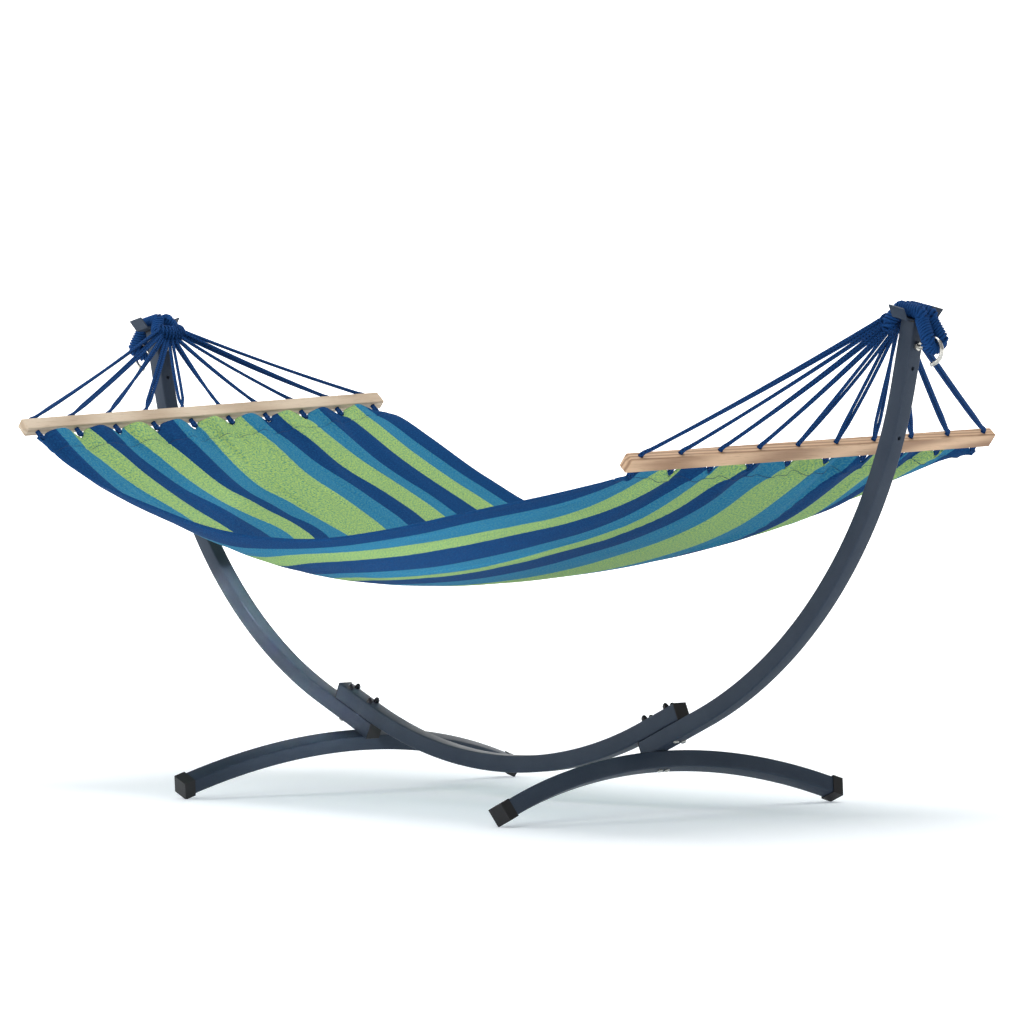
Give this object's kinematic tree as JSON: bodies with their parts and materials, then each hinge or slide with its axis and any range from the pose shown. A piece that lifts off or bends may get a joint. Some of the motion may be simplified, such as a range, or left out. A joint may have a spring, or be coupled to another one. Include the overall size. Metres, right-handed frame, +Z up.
{
  "type": "hammock on stand",
  "caption": "Free-standing hammock: striped woven bed on wooden spreader bars, hung by cord fans between the arms of a bowed square-tube steel stand with arched feet",
  "frame": {"origin": "on the floor under the middle of the stand", "axes": "+X along the hammock towards the right arm, +Y away from the near side, +Z up"},
  "size_m": [2.7904, 1.1574, 1.1512],
  "materials": {
    "steel_paint": "blue-grey hammered powder coat",
    "black_plastic": "moulded",
    "black_zinc": "black coated nut, glossy",
    "bright_zinc": "bright zinc plate",
    "beech": "oiled",
    "navy_cord": "braided cord",
    "striped_cotton": "woven stripes"
  },
  "bodies": {
    "stand": {"arm_plug_left": "black_plastic", "arm_plug_right": "black_plastic", "arm_top_plug_left": "black_plastic", "arm_top_plug_right": "black_plastic", "arm_tube_left": "steel_paint", "arm_tube_right": "steel_paint", "eye_loop_left": "navy_cord", "eye_loop_right": "navy_cord", "foot_cap_left_far": "black_plastic", "foot_cap_left_near": "black_plastic", "foot_cap_right_far": "black_plastic", "foot_cap_right_near": "black_plastic", "foot_tube_left": "steel_paint", "foot_tube_right": "steel_paint", "hook_cap_nut_left": "black_zinc", "hook_cap_nut_right": "black_zinc", "hook_nut_left": "bright_zinc", "hook_nut_right": "bright_zinc", "lower_bolt_left_far": "bright_zinc", "lower_bolt_left_near": "bright_zinc", "lower_bolt_right_far": "bright_zinc", "lower_bolt_right_near": "bright_zinc", "lower_cap_nut_left_far": "black_zinc", "lower_cap_nut_left_near": "black_zinc", "lower_cap_nut_right_far": "black_zinc", "lower_cap_nut_right_near": "black_zinc", "rope_hook_left": "bright_zinc", "rope_hook_right": "bright_zinc", "rope_saddle_left": "steel_paint", "rope_saddle_right": "steel_paint", "saddle_screw_left": "bright_zinc", "saddle_screw_right": "bright_zinc", "spine_plug_left": "black_plastic", "spine_plug_right": "black_plastic", "spine_tube": "steel_paint", "upper_bolt_left_far": "bright_zinc", "upper_bolt_left_near": "bright_zinc", "upper_bolt_right_far": "bright_zinc", "upper_bolt_right_near": "bright_zinc", "upper_cap_nut_left_far": "black_zinc", "upper_cap_nut_left_near": "black_zinc", "upper_cap_nut_right_far": "black_zinc", "upper_cap_nut_right_near": "black_zinc"},
    "hammock": {"cord_fan_left": "navy_cord", "cord_fan_right": "navy_cord", "hammock_bed": "striped_cotton", "spreader_bar_left": "beech", "spreader_bar_right": "beech"}
  },
  "joints": [
    {"name": "hammock_swing", "type": "hinge", "parent": "stand", "child": "hammock", "pos_m": [0, 0, 1.1], "axis": [1, 0, 0], "range_deg": [-40, 40]}
  ]
}
